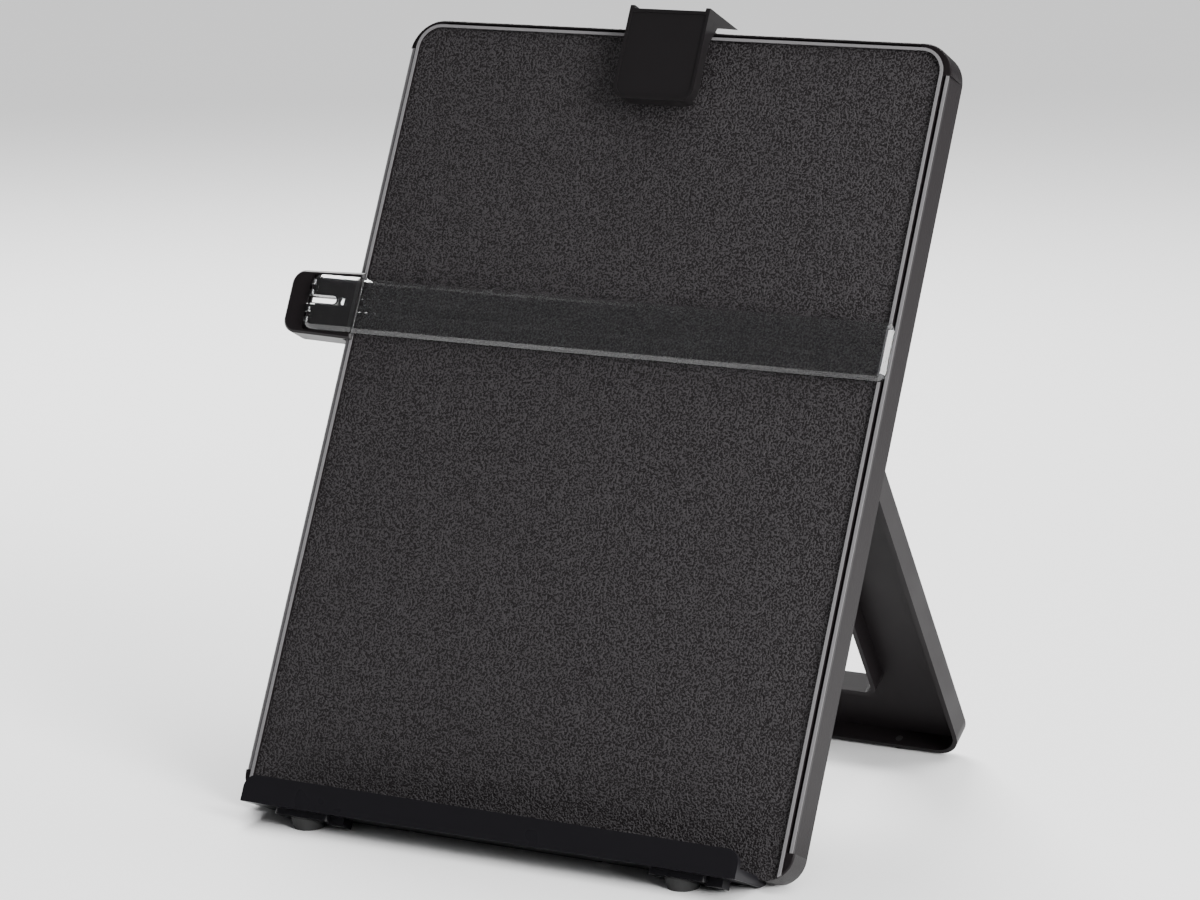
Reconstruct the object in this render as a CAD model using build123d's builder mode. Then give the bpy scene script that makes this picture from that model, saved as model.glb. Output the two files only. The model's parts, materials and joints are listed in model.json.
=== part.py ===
from build123d import *
import os
from math import cos, radians, sin

# Desk copy holder: a tray-shaped board that leans back on an easel leg, with a ledge and two
# rubber feet in front, a sprung paper clip on its top rail and a clear line guide on its left
# rail.  Board coordinates: x across from the centre line, v up the board from its bottom edge,
# w out of its face towards the reader.  Leg coordinates: x, s up the leg from its hinge axis,
# t towards the board.  Millimetres throughout.

# ---- stance ---------------------------------------------------------------------------
LEAN = 24.5              # board's lean back from upright, degrees
LEG_OPEN = 59.0          # leg's angle from the board when it stands on its stop, degrees
EDGE_HEIGHT = 4.1        # board's front bottom edge above the table

# ---- board ----------------------------------------------------------------------------
BOARD_WIDTH = 227.2      # over the corner blocks
BOARD_HEIGHT = 306.1
BOARD_DEPTH = 10.5       # face to the rim's rear edge
TOP_CORNER = 13.0
BOTTOM_CORNER = 10.0
FACE_THICKNESS = 2.2
EDGE_ROUND = 0.7         # front edge of the corner blocks and the top
RAIL_STEP = 0.95         # front of the side rails, set in from the corner blocks
LIP_HEIGHT = 0.15        # outer lip above the face
LIP_WIDTH = 1.15
LIP_DEPTH = 1.5          # upright part of a rail's side, which then slopes out to the rear
GROOVE_WIDTH = 1.1
GROOVE_DEPTH = 1.6
BEAD_WIDTH = 1.1
BEAD_HEIGHT = 1.4
RECESS_CORNER = 8.5
WALL_INSIDE = 0.4        # rim wall's inner face, inside the groove
TOP_LIP = 1.0
TOP_GROOVE_INSET = 15.1  # ends of the groove that the clip runs in, from the board's sides
TOP_GROOVE_SLANT = 2.0
RAIL_BOTTOM = 10.7       # ends of the side rails, up from the bottom edge
RAIL_TOP_DROP = 11.9     # and down from the top edge
RIB = 1.5                # stiffening ribs behind the face
RIB_HEIGHT = 3.0
RIB_X = 48.0
RIB_ROWS = (62.0, 124.0, 236.0)

# ---- ledge ----------------------------------------------------------------------------
LEDGE_INSET = 12.0       # ledge's ends, in from the board's sides
LEDGE_REACH = 17.5       # lip's front, out from the board's face
LEDGE_LIP_TOP = 7.0
LEDGE_LIP_BOTTOM = -3.1
LEDGE_WALL = 2.0
LEDGE_CORNER = 5.0
LEDGE_FLOOR = 1.0
TONGUE_BOTTOM = -2.3     # tongue under the board's bottom rim
TONGUE_REAR = -7.3
FOOT_INSET = 24.4        # front feet, in from the ledge's ends
FOOT_W = 7.5
PAD_WIDTH = 22.7         # moulded pad that carries each front foot
PAD_FRONT = 14.0
PAD_REAR = 2.2
PAD_BOTTOM = -5.3
PAD_CORNER = 2.0
LUG_OFFSET = 13.7        # small lug beside each pad
LUG_WIDTH = 6.6
LUG_FRONT = 11.0
LUG_REAR = 5.0
LUG_BOTTOM = -6.0
FOOT_TOP_R = 6.2
FOOT_COLLAR = 0.7
FOOT_SOLE_R = 4.2
FOOT_SOLE_V = -9.9
STEM_R = 2.4
STEM = 2.6
SCREW_X = 40.0
SCREW_W = -2.6
SCREW_R = 1.0
SCREW_GRIP = 6.0         # length of the screw inside the board's rim
SCREW_HEAD_R = 1.9
SCREW_HEAD = 1.0
SCREW_SEAT = -0.75       # where the heads seat, inside the ledge's tongue
BOSS_WIDTH = 7.0
BOSS_HEIGHT = 8.0
BOSS_FRONT = -1.0

# ---- leg ------------------------------------------------------------------------------
LEG_WIDTH = 176.4
LEG_DEPTH = 9.6
LEG_WALL = 1.8
LEG_CORNER = 11.0
LEG_AXIS_V = 186.1       # hinge axis, up from the board's bottom edge
LEG_TOP = 8.0            # leg's panel above the hinge axis
LEG_TOP_CORNER = 2.0
WINDOW_SIDE = 30.7       # panel beside the window
WINDOW_BORDER = 30.6     # below the window
WINDOW_HEIGHT = 90.0
WINDOW_CORNER = 3.5
LEG_RIB_TOP = -16.0
LEG_RIB_ROW = -52.0
EAR_THICKNESS = 4.0
EAR_R = 2.7
PIN_R = 1.5
PIN_HEAD_R = 3.0
PIN_HEAD = 1.0
STOP_WIDTH = 16.0
STOP_INSET = 26.2        # stops, in from the leg's sides
STOP_NEAR = 2.5          # stop's contact with the panel, from and to, above the axis
STOP_FAR = 7.6
LEG_FOOT_INSET = 28.0    # rubber feet, in from the leg's sides
LEG_FOOT_R = 2.8
LEG_FOOT_T = 1.4
LEG_FOOT_DROP = 6.0
LEG_STEM_R = 1.4

# ---- clip, heights from the board's top edge ----------------------------------------------
CLIP_WIDTH = 33.4
CHEEK = 1.8
CLIP_DROP = 30.1         # jaw's bottom edge below the board's top edge
CLIP_FRONT = 9.5
CLIP_WALL = 1.6
CLIP_CORNER = 5.5
CLIP_RIM = 1.2           # raised border round the clip's front
CLIP_RIM_HEIGHT = 0.4
SKIRT_BACK = 5.1         # side skirts' rear edge
FOOT_SKIRT_BACK = 3.2    # bottom skirt's rear edge
SKIRT_DROP = 6.1         # side skirts' upper end below the board's top edge
CHEEK_NECK = (0.3, 1.6)  # corners of the cheeks, above the board's top edge and out of its face
CHEEK_HEEL = (1.6, 1.0)
LEVER_TIP = (6.8, -14.8)
LEVER_PEAK = (6.25, 9.3)
WEB_DROP = 1.3           # thumb web below the cheeks' upper edges
WEB = 1.2
CLIP_AXIS_RISE = 1.3     # pivot above the board's top edge
CLIP_AXIS_W = 3.5
CLIP_PIN_R = 1.3
CLIP_EAR = 1.8
CLIP_EAR_R = 2.3
SADDLE = 1.2
SADDLE_TOP = 0.85
SADDLE_BACK_DROP = 4.5   # rear plate below the board's top edge
SNAP_REACH = 1.4
SNAP_HEIGHT = 1.2
JAW_POST_UP = 3.6        # grip's post, up from the jaw's bottom edge
JAW_POST = 3.2
JAW_POST_HALF = 11.5
GRIP_THICKNESS = 2.4
GRIP_MARGIN = 0.5
WIRE_R = 0.3             # torsion spring's wire, six-sided in section
WIRE_SIDES = 6
COIL_R = 1.68
COIL_PITCH = 0.85
COIL_TURNS = 2.5
COIL_LEG = 1.0

# ---- line guide, its lengths from the board's left side ---------------------------------
GUIDE_V = 190.05         # middle of the guide, up from the board's bottom edge
SLIDER_OUT = 27.3        # slider's left end, out from the board's side
SLIDER_IN = 4.2          # its right end, in over the rail
SLIDER_HEIGHT_LEFT = 24.5
SLIDER_HEIGHT_RIGHT = 26.3
SLIDER_CORNER = 5.5
SLIDER_FRONT = 2.8
SLIDER_DEPTH = 10.0
SLIDER_WALL = 1.6
SLIDER_PLATE = 2.4
SLIDER_BEVEL = 0.8
WRAP_WALL = 2.0
HOOK_REACH = 3.2         # hook behind the board's rim
HOOK = 1.6
TAB_OUT = 17.7
TAB_CORNER = 4.5
TAB_IN = 3.3
GUIDE_HEIGHT = 21.4
GUIDE_THICKNESS = 2.5
GUIDE_BEVEL = 1.5
BAR_IN = 5.3
BAR_INSET = 1.2          # bar's free end, in from the board's right side
BAR_CORNER = 3.0
RULE_OFFSET = 2.6        # two moulded lines, each side of the bar's middle
RULE_WIDTH = 0.5
RULE_HEIGHT = 0.3
SLOT_OFFSET = 0.7
SLOT_HALF = 1.55
SLOT_OUT = 3.9
CATCH_OUT = 3.4
CATCH_WIDTH = 2.1
CATCH_HALF = 1.2
CATCH_PROUD = 0.4
CATCH_TIP = 1.5          # catch's lower end, out from the face
CATCH_SWING = 0.5        # room for the catch when the bar lifts
GUIDE_AXIS_OUT = 15.6
GUIDE_PIN_R = 0.5
KNUCKLE_R = 0.9
KNUCKLE_NEAR = 4.4       # hinge knuckles, from the guide's middle
KNUCKLE_FAR = 6.4
GUIDE_PIN_NEAR = 2.6
GUIDE_PIN_FAR = 8.4
POCKET_FLOOR = 1.5       # floor of the pocket under the tab's end, out from the face
BRAKE = 0.3              # leaf spring that holds the slider in place
BRAKE_HALF = 8.0
BRAKE_BOW = 1.1
BRAKE_LOW = -8.6
BRAKE_HIGH = -4.6

# ---- clearances -----------------------------------------------------------------------
SEAT = 0.05              # pieces that rest on each other
SHEET = 0.1              # grip above the face, the thickness of one sheet
SLIDE = 0.15             # pieces that slide on a rail
TURN = 0.05              # pins in the bores that turn on them, on the radius
PRESS = 0.02             # pins in the bores that hold them, on the radius
HINGE_SIDE = 0.3         # beside a hinge's ears
FOLD_GAP = 0.3           # folded leg to the board's rear edge
TABLE_CLEAR = 0.6        # all but the rubber feet above the table
EPS = 1.0                # cutters stand this far out of what they cut
FAR = 40.0               # cutters that clear a whole side

# ---- worked out from the sizes above ----------------------------------------------------
half_block = BOARD_WIDTH / 2
half_rail = half_block - RAIL_STEP
rail_top = BOARD_HEIGHT - RAIL_TOP_DROP
top_groove_half = half_block - TOP_GROOVE_INSET
half_ledge = half_block - LEDGE_INSET
foot_x = half_ledge - FOOT_INSET
groove_out = half_rail - LIP_WIDTH
groove_in = groove_out - GROOVE_WIDTH
recess_half = groove_in - BEAD_WIDTH
wall_in = groove_in - WALL_INSIDE
top_groove_high = BOARD_HEIGHT - TOP_LIP
top_groove_low = top_groove_high - GROOVE_WIDTH
recess_top = top_groove_low - BEAD_WIDTH
hollow_top = top_groove_low - WALL_INSIDE
rail_middle = (RAIL_BOTTOM + rail_top) / 2
rail_length = rail_top - RAIL_BOTTOM

lean_cos = cos(radians(LEAN))
lean_sin = sin(radians(LEAN))
slope_cos = cos(radians(LEG_OPEN - LEAN))
slope_sin = sin(radians(LEG_OPEN - LEAN))
open_cos = cos(radians(LEG_OPEN))
open_sin = sin(radians(LEG_OPEN))

half_leg = LEG_WIDTH / 2
window_half = half_leg - WINDOW_SIDE
stop_x = half_leg - STOP_INSET
leg_foot_x = half_leg - LEG_FOOT_INSET
half_depth = LEG_DEPTH / 2
leg_axis_w = -(BOARD_DEPTH + FOLD_GAP + half_depth)
leg_axis_height = EDGE_HEIGHT + LEG_AXIS_V * lean_cos + leg_axis_w * lean_sin
leg_axis_back = LEG_AXIS_V * lean_sin - leg_axis_w * lean_cos
leg_length = (leg_axis_height - half_depth * slope_sin - TABLE_CLEAR) / slope_cos
panel_in = -half_depth + LEG_WALL
window_low = -leg_length + WINDOW_BORDER
window_high = window_low + WINDOW_HEIGHT
ear_out = half_leg - LEG_WALL - HINGE_SIDE
ear_in = ear_out - EAR_THICKNESS

slider_left = -half_block - SLIDER_OUT
slider_right = -half_block + SLIDER_IN
front_reach = LEDGE_LIP_BOTTOM * lean_sin - LEDGE_REACH * lean_cos
rear_reach = leg_axis_back + leg_length * slope_sin + half_depth * slope_cos
centre_x = (slider_left + half_block) / 2
centre_y = (front_reach + rear_reach) / 2

half_clip = CLIP_WIDTH / 2
clip_bottom = BOARD_HEIGHT - CLIP_DROP
skirt_top = BOARD_HEIGHT - SKIRT_DROP
clip_axis_v = BOARD_HEIGHT + CLIP_AXIS_RISE
jaw_post_low = clip_bottom + JAW_POST_UP
jaw_post_high = jaw_post_low + JAW_POST
cheek_in = half_clip - CHEEK
saddle_half = cheek_in - HINGE_SIDE
saddle_low = top_groove_low + SLIDE
saddle_tongue_high = top_groove_high - SLIDE
saddle_under = BOARD_HEIGHT + SLIDE
saddle_high = saddle_under + SADDLE_TOP
saddle_front = LIP_HEIGHT + SLIDE + SADDLE
saddle_rear = -BOARD_DEPTH - SLIDE - SADDLE
plate_back = CLIP_FRONT - CLIP_WALL
web_slope = (LEVER_TIP[0] - LEVER_PEAK[0]) / (LEVER_PEAK[1] - LEVER_TIP[1])
web_front = BOARD_HEIGHT + LEVER_PEAK[0] - WEB_DROP

half_left = SLIDER_HEIGHT_LEFT / 2
half_right = SLIDER_HEIGHT_RIGHT / 2
half_guide = GUIDE_HEIGHT / 2
wrap_in = -(half_block + SLIDE)
wrap_out = wrap_in - WRAP_WALL
hook_front = -BOARD_DEPTH - SLIDE
tab_back = SLIDER_FRONT + SEAT
tab_front = tab_back + GUIDE_THICKNESS
bar_back = BEAD_HEIGHT + SEAT
bar_front = bar_back + GUIDE_THICKNESS
guide_axis_w = tab_back + GUIDE_THICKNESS / 2
slot_v = GUIDE_V + SLOT_OFFSET
tab_left = -half_block - TAB_OUT
tab_right = -half_block + TAB_IN
bar_left = -half_block + BAR_IN
bar_right = half_block - BAR_INSET
slot_right = -half_block - SLOT_OUT
catch_left = -half_block - CATCH_OUT
catch_right = catch_left + CATCH_WIDTH
guide_axis_x = -half_block - GUIDE_AXIS_OUT
# board's sloping side at the leaf spring's rear edge
brake_share = (-BRAKE_LOW - LIP_DEPTH) / (BOARD_DEPTH - LIP_DEPTH)
wall_at_brake = half_rail + RAIL_STEP * brake_share

face = Plane(
    origin=(-centre_x, -centre_y, EDGE_HEIGHT), x_dir=(1, 0, 0), z_dir=(0, -lean_cos, lean_sin)
)
leg = Plane(
    origin=face.from_local_coords(Vector(0, LEG_AXIS_V, leg_axis_w)),
    x_dir=(1, 0, 0), z_dir=(0, -slope_cos, -slope_sin),
)
out_of_face = Axis((0, 0, 0), face.z_dir)
up_face = Axis((0, 0, 0), face.y_dir)
sideways = Axis.X


def across(frame, x):
    """Plane square to the width: local x runs up the frame, local y out of it."""
    return Plane(origin=frame.from_local_coords(Vector(x, 0, 0)), x_dir=frame.y_dir, z_dir=(1, 0, 0))


def upward(frame, v):
    """Plane square to the height, facing up: local x runs across, local y into the frame."""
    return Plane(origin=frame.from_local_coords(Vector(0, v, 0)), x_dir=(1, 0, 0), z_dir=frame.y_dir)


def outline(half, low, high, low_radius, high_radius):
    """Upright plate about the centre line with its own lower and upper corner radii."""
    with BuildSketch(mode=Mode.PRIVATE) as flat:
        with Locations((0, (low + high) / 2)):
            Rectangle(2 * half, high - low)
        fillet(flat.vertices().group_by(Axis.Y)[0], low_radius)
        fillet(flat.vertices().group_by(Axis.Y)[-1], high_radius)
    return flat.sketch


def slab(x_low, x_high, v_low, v_high):
    """Rectangle between two x and two v values."""
    with BuildSketch(mode=Mode.PRIVATE) as flat:
        with Locations(((x_low + x_high) / 2, (v_low + v_high) / 2)):
            Rectangle(x_high - x_low, v_high - v_low)
    return flat.sketch


def polygon(points):
    """Closed shape through the points."""
    with BuildSketch(mode=Mode.PRIVATE) as flat:
        with BuildLine():
            Polyline(*points, close=True)
        make_face()
    return flat.sketch


def disc(x, y, radius):
    """Circle about a point."""
    with BuildSketch(mode=Mode.PRIVATE) as flat:
        with Locations((x, y)):
            Circle(radius)
    return flat.sketch


def below(level):
    """Everything under a height above the table, to cut away."""
    with BuildPart(mode=Mode.PRIVATE) as block:
        with BuildSketch(Plane.XY.offset(level)):
            Rectangle(2 * BOARD_WIDTH, 2 * BOARD_HEIGHT)
        extrude(amount=-FAR)
    return block.part


def above_top(*corners):
    """Corners given from the board's top edge, as heights from its bottom edge."""
    return [(BOARD_HEIGHT + rise, out) for rise, out in corners]


# ---- board ----------------------------------------------------------------------------
with BuildPart() as board:
    with BuildSketch(face.offset(-BOARD_DEPTH)):
        add(outline(half_block, 0, BOARD_HEIGHT, BOTTOM_CORNER, TOP_CORNER))
    extrude(amount=BOARD_DEPTH + LIP_HEIGHT)
    fillet(board.faces().sort_by(out_of_face)[-1].edges(), EDGE_ROUND)
    # the face, set down inside the rim and running out at the bottom edge
    with BuildSketch(face):
        add(outline(groove_in, -FAR, top_groove_low, EPS, RECESS_CORNER + BEAD_WIDTH))
    extrude(amount=LIP_HEIGHT + EPS, mode=Mode.SUBTRACT)
    # hollow back
    with BuildSketch(face.offset(-BOARD_DEPTH)):
        add(outline(wall_in, FACE_THICKNESS, hollow_top, RECESS_CORNER, RECESS_CORNER + BEAD_WIDTH))
    extrude(amount=BOARD_DEPTH - FACE_THICKNESS, mode=Mode.SUBTRACT)
    # bead round the face, running out in the bottom corners
    with BuildSketch(face):
        add(outline(half_block, 0, BOARD_HEIGHT, BOTTOM_CORNER, TOP_CORNER))
        add(outline(groove_in, -FAR, top_groove_low, EPS, RECESS_CORNER + BEAD_WIDTH), mode=Mode.INTERSECT)
        add(outline(recess_half, -FAR, recess_top, EPS, RECESS_CORNER), mode=Mode.SUBTRACT)
    extrude(amount=BEAD_HEIGHT)
    # side rails: the rim set in at the front and sloping out to the rear, with a groove in it
    for side in (-1, 1):
        clear_of_side = side * (half_block + EPS)
        with BuildSketch(upward(face, RAIL_BOTTOM)):
            add(polygon((
                (side * half_rail, -LIP_HEIGHT - EPS),
                (side * half_rail, LIP_DEPTH),
                (side * half_block, BOARD_DEPTH),
                (clear_of_side, BOARD_DEPTH),
                (clear_of_side, -LIP_HEIGHT - EPS),
            )))
        extrude(amount=rail_length, mode=Mode.SUBTRACT)
        with BuildSketch(face.offset(-GROOVE_DEPTH)):
            with Locations((side * (groove_in + groove_out) / 2, rail_middle)):
                Rectangle(GROOVE_WIDTH, rail_length)
        extrude(amount=GROOVE_DEPTH + LIP_HEIGHT + EPS, mode=Mode.SUBTRACT)
    # the clip's groove along the top, with slanted ends
    with BuildSketch(face.offset(-GROOVE_DEPTH)):
        add(polygon((
            (-top_groove_half, top_groove_low),
            (top_groove_half, top_groove_low),
            (top_groove_half + TOP_GROOVE_SLANT, top_groove_high),
            (-top_groove_half - TOP_GROOVE_SLANT, top_groove_high),
        )))
    extrude(amount=GROOVE_DEPTH + LIP_HEIGHT + EPS, mode=Mode.SUBTRACT)
    # stiffening ribs behind the face
    with BuildSketch(face.offset(-FACE_THICKNESS - RIB_HEIGHT)):
        for rib_x in (-RIB_X, 0, RIB_X):
            add(slab(rib_x - RIB / 2, rib_x + RIB / 2, FACE_THICKNESS / 2, hollow_top + WALL_INSIDE / 2))
        for rib_v in RIB_ROWS:
            add(slab(-wall_in - WALL_INSIDE / 2, wall_in + WALL_INSIDE / 2, rib_v, rib_v + RIB))
    extrude(amount=RIB_HEIGHT + FACE_THICKNESS / 2)
    # hinge ears for the leg, and stops that its panel meets when it is open
    for side in (-1, 1):
        ear_low = min(side * ear_in, side * ear_out)
        with BuildSketch(across(face, ear_low)):
            add(slab(LEG_AXIS_V - EAR_R, LEG_AXIS_V + EAR_R, leg_axis_w, -FACE_THICKNESS / 2))
            add(disc(LEG_AXIS_V, leg_axis_w, EAR_R))
            add(disc(LEG_AXIS_V, leg_axis_w, PIN_R + PRESS), mode=Mode.SUBTRACT)
        extrude(amount=EAR_THICKNESS)
        stop_foot = panel_in + SEAT
        near_point = (
            LEG_AXIS_V + STOP_NEAR * open_cos - stop_foot * open_sin,
            leg_axis_w + STOP_NEAR * open_sin + stop_foot * open_cos,
        )
        far_point = (
            LEG_AXIS_V + STOP_FAR * open_cos - stop_foot * open_sin,
            leg_axis_w + STOP_FAR * open_sin + stop_foot * open_cos,
        )
        with BuildSketch(across(face, side * stop_x - STOP_WIDTH / 2)):
            add(polygon((
                near_point,
                far_point,
                (far_point[0], -FACE_THICKNESS / 2),
                (near_point[0], -FACE_THICKNESS / 2),
            )))
        extrude(amount=STOP_WIDTH)
        # screw boss in the bottom rim
        with BuildSketch(upward(face, 0)):
            with Locations((side * SCREW_X, (BOARD_DEPTH - BOSS_FRONT) / 2)):
                Rectangle(BOSS_WIDTH, BOARD_DEPTH + BOSS_FRONT)
        extrude(amount=BOSS_HEIGHT)
        with BuildSketch(upward(face, 0)):
            add(disc(side * SCREW_X, -SCREW_W, SCREW_R + PRESS))
        extrude(amount=SCREW_GRIP + SEAT, mode=Mode.SUBTRACT)
    # rear bottom edge relieved level with the table
    add(below(TABLE_CLEAR), mode=Mode.SUBTRACT)

# ---- ledge ----------------------------------------------------------------------------
with BuildPart() as ledge:
    with BuildSketch(across(face, -half_ledge)):
        add(polygon((
            (LEDGE_LIP_TOP, LEDGE_REACH),
            (LEDGE_LIP_BOTTOM, LEDGE_REACH),
            (TONGUE_BOTTOM, 0),
            (TONGUE_BOTTOM, TONGUE_REAR),
            (0, TONGUE_REAR),
            (0, 0),
            (LEDGE_FLOOR, 0),
            (LEDGE_FLOOR, LEDGE_REACH - LEDGE_WALL),
            (LEDGE_LIP_TOP, LEDGE_REACH - LEDGE_WALL),
        )))
    extrude(amount=2 * half_ledge)
    fillet(ledge.edges().filter_by(out_of_face).group_by(up_face)[-1], LEDGE_CORNER)
    for side in (-1, 1):
        with BuildSketch(upward(face, PAD_BOTTOM)):
            with Locations((side * foot_x, -(PAD_FRONT + PAD_REAR) / 2)):
                RectangleRounded(PAD_WIDTH, PAD_FRONT - PAD_REAR, PAD_CORNER)
        extrude(amount=-PAD_BOTTOM)
        with BuildSketch(upward(face, LUG_BOTTOM)):
            with Locations((side * foot_x + LUG_OFFSET, -(LUG_FRONT + LUG_REAR) / 2)):
                Rectangle(LUG_WIDTH, LUG_FRONT - LUG_REAR)
        extrude(amount=-LUG_BOTTOM)
        with BuildSketch(upward(face, PAD_BOTTOM)):
            add(disc(side * foot_x, -FOOT_W, STEM_R + PRESS))
        extrude(amount=STEM + SEAT, mode=Mode.SUBTRACT)
        with BuildSketch(upward(face, TONGUE_BOTTOM)):
            add(disc(side * SCREW_X, -SCREW_W, SCREW_R + TURN))
        extrude(amount=-TONGUE_BOTTOM, mode=Mode.SUBTRACT)
        with BuildSketch(upward(face, TONGUE_BOTTOM)):
            add(disc(side * SCREW_X, -SCREW_W, SCREW_HEAD_R + TURN))
        extrude(amount=SCREW_SEAT - TONGUE_BOTTOM, mode=Mode.SUBTRACT)
    # tongue and pads relieved level with the table
    add(below(TABLE_CLEAR), mode=Mode.SUBTRACT)

# ---- screws that hold the ledge to the board --------------------------------------------
with BuildPart() as ledge_screws:
    for side in (-1, 1):
        with BuildSketch(upward(face, SCREW_SEAT - SCREW_HEAD)):
            add(disc(side * SCREW_X, -SCREW_W, SCREW_HEAD_R))
        extrude(amount=SCREW_HEAD)
        with BuildSketch(upward(face, SCREW_SEAT - SCREW_HEAD)):
            add(disc(side * SCREW_X, -SCREW_W, SCREW_R))
        extrude(amount=SCREW_GRIP - SCREW_SEAT + SCREW_HEAD)


def front_foot(x):
    """Rubber foot pressed into a pad, its sole trimmed level with the table."""
    with BuildPart() as foot:
        with BuildSketch(across(face, x)):
            add(polygon((
                (PAD_BOTTOM + STEM, FOOT_W),
                (PAD_BOTTOM + STEM, FOOT_W + STEM_R),
                (PAD_BOTTOM, FOOT_W + STEM_R),
                (PAD_BOTTOM, FOOT_W + FOOT_TOP_R),
                (PAD_BOTTOM - FOOT_COLLAR, FOOT_W + FOOT_TOP_R),
                (FOOT_SOLE_V, FOOT_W + FOOT_SOLE_R),
                (FOOT_SOLE_V, FOOT_W),
            )))
        revolve(axis=Axis(face.from_local_coords(Vector(x, 0, FOOT_W)), face.y_dir))
        add(below(0), mode=Mode.SUBTRACT)
    return foot.part


with BuildPart() as foot_left:
    add(front_foot(-foot_x))

with BuildPart() as foot_right:
    add(front_foot(foot_x))

# ---- leg ------------------------------------------------------------------------------
with BuildPart() as easel_leg:
    with BuildSketch(leg.offset(-half_depth)):
        add(outline(half_leg, -leg_length, LEG_TOP, LEG_CORNER, LEG_TOP_CORNER))
    extrude(amount=LEG_DEPTH)
    # hollow towards the board, open at the hinge end, with a wall round the window
    with BuildSketch(leg.offset(panel_in)):
        add(outline(
            half_leg - LEG_WALL, -leg_length + LEG_WALL, LEG_TOP + EPS, LEG_CORNER - LEG_WALL, EPS / 2
        ))
        add(outline(
            window_half + LEG_WALL, window_low - LEG_WALL, window_high + LEG_WALL,
            WINDOW_CORNER + LEG_WALL, WINDOW_CORNER + LEG_WALL,
        ), mode=Mode.SUBTRACT)
    extrude(amount=LEG_DEPTH, mode=Mode.SUBTRACT)
    with BuildSketch(leg.offset(-half_depth - EPS)):
        add(outline(window_half, window_low, window_high, WINDOW_CORNER, WINDOW_CORNER))
    extrude(amount=LEG_DEPTH + 2 * EPS, mode=Mode.SUBTRACT)
    # side flanges rounded about the hinge axis, and bored for the pins
    with BuildSketch(across(leg, -half_leg - EPS)):
        add(slab(0, LEG_TOP + EPS, panel_in, half_depth + EPS))
        add(disc(0, 0, half_depth), mode=Mode.SUBTRACT)
    extrude(amount=LEG_WIDTH + 2 * EPS, mode=Mode.SUBTRACT)
    with BuildSketch(across(leg, -half_leg - EPS)):
        add(disc(0, 0, PIN_R + TURN))
    extrude(amount=LEG_WIDTH + 2 * EPS, mode=Mode.SUBTRACT)
    # ribs between the window and the hinge
    with BuildSketch(leg.offset(-half_depth + LEG_WALL / 2)):
        for rib_x in (-window_half, 0, window_half):
            add(slab(rib_x - RIB / 2, rib_x + RIB / 2, window_high + LEG_WALL / 2, LEG_RIB_TOP))
        add(slab(-half_leg + LEG_WALL / 2, half_leg - LEG_WALL / 2, LEG_RIB_ROW, LEG_RIB_ROW + RIB))
    extrude(amount=RIB_HEIGHT)
    # holes for the rubber feet in the bottom wall
    with BuildSketch(upward(leg, -leg_length - EPS)):
        for side in (-1, 1):
            add(disc(side * leg_foot_x, -LEG_FOOT_T, LEG_STEM_R + PRESS))
    extrude(amount=LEG_WALL + 2 * EPS, mode=Mode.SUBTRACT)


def leg_pin(side):
    """Headed pin from outside the leg's flange into the board's ear."""
    with BuildPart() as pin:
        start = side * ear_in
        finish = side * (half_leg + SLIDE)
        with BuildSketch(across(leg, min(start, finish))):
            add(disc(0, 0, PIN_R))
        extrude(amount=abs(finish - start))
        head_end = finish + side * PIN_HEAD
        with BuildSketch(across(leg, min(finish, head_end))):
            add(disc(0, 0, PIN_HEAD_R))
        extrude(amount=PIN_HEAD)
    return pin.part


with BuildPart() as leg_pin_left:
    add(leg_pin(-1))

with BuildPart() as leg_pin_right:
    add(leg_pin(1))


def leg_foot(x):
    """Rubber foot in the leg's bottom wall, its sole trimmed level with the table."""
    with BuildPart() as foot:
        with BuildSketch(upward(leg, -leg_length - LEG_FOOT_DROP)):
            add(disc(x, -LEG_FOOT_T, LEG_FOOT_R))
        extrude(amount=LEG_FOOT_DROP)
        with BuildSketch(upward(leg, -leg_length)):
            add(disc(x, -LEG_FOOT_T, LEG_STEM_R))
        extrude(amount=LEG_WALL)
        add(below(0), mode=Mode.SUBTRACT)
    return foot.part


with BuildPart() as leg_foot_left:
    add(leg_foot(-leg_foot_x))

with BuildPart() as leg_foot_right:
    add(leg_foot(leg_foot_x))

# ---- clip: bracket that runs in the top groove and snaps behind the rim -----------------
with BuildPart() as clip_bracket:
    with BuildSketch(across(face, -saddle_half)):
        add(slab(saddle_low, saddle_tongue_high, -GROOVE_DEPTH + SLIDE, saddle_front))
        add(slab(saddle_low, saddle_high, saddle_front - SADDLE, saddle_front))
        add(slab(saddle_under, saddle_high, saddle_rear, saddle_front))
        add(slab(BOARD_HEIGHT - SADDLE_BACK_DROP, saddle_high, saddle_rear, saddle_rear + SADDLE))
        add(polygon((
            (hollow_top - SLIDE, saddle_rear),
            (hollow_top - SLIDE, saddle_rear + SADDLE + SNAP_REACH),
            (hollow_top - SLIDE - SNAP_HEIGHT, saddle_rear + SADDLE),
            (hollow_top - SLIDE - SNAP_HEIGHT, saddle_rear),
        )))
    extrude(amount=2 * saddle_half)
    for side in (-1, 1):
        ear_face = min(side * saddle_half, side * (saddle_half - CLIP_EAR))
        with BuildSketch(across(face, ear_face)):
            add(slab(saddle_under, saddle_high, 0, CLIP_AXIS_W))
            add(polygon((
                (saddle_low, saddle_front),
                (saddle_low, saddle_front - SADDLE),
                (clip_axis_v + CLIP_EAR_R, CLIP_AXIS_W - CLIP_EAR_R / 2),
                (clip_axis_v, CLIP_AXIS_W + CLIP_EAR_R),
            )))
            add(disc(clip_axis_v, CLIP_AXIS_W, CLIP_EAR_R))
            add(disc(clip_axis_v, CLIP_AXIS_W, CLIP_PIN_R + PRESS), mode=Mode.SUBTRACT)
        extrude(amount=CLIP_EAR)

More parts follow.
